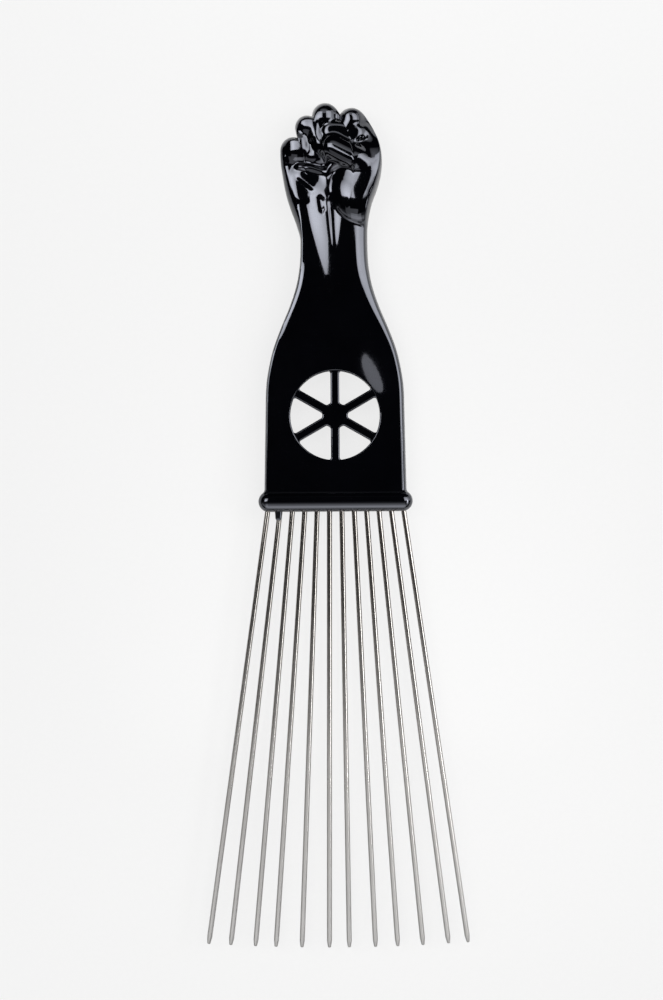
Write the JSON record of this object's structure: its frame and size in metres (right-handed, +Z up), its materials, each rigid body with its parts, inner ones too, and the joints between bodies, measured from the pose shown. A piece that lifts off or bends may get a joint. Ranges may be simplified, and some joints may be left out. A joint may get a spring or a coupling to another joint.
{
  "type": "afro pick",
  "caption": "Hair pick with a fan of straight steel wires set in a moulded plastic handle that ends in a raised fist.",
  "frame": {"origin": "middle of the flat back of the base bar, on the surface that the pick lies on", "axes": "+Y along the pick from the bar to the fist, +X across it to the right as seen from the palm side, +Z up out of the palm side"},
  "size_m": [0.076, 0.244, 0.0151],
  "materials": {
    "gloss_plastic": "polished",
    "steel_wire": "drawn and polished"
  },
  "bodies": {
    "root": {"handle": "gloss_plastic", "tine_01": "steel_wire", "tine_02": "steel_wire", "tine_03": "steel_wire", "tine_04": "steel_wire", "tine_05": "steel_wire", "tine_06": "steel_wire", "tine_07": "steel_wire", "tine_08": "steel_wire", "tine_09": "steel_wire", "tine_10": "steel_wire", "tine_11": "steel_wire", "tine_12": "steel_wire"}
  },
  "joints": []
}
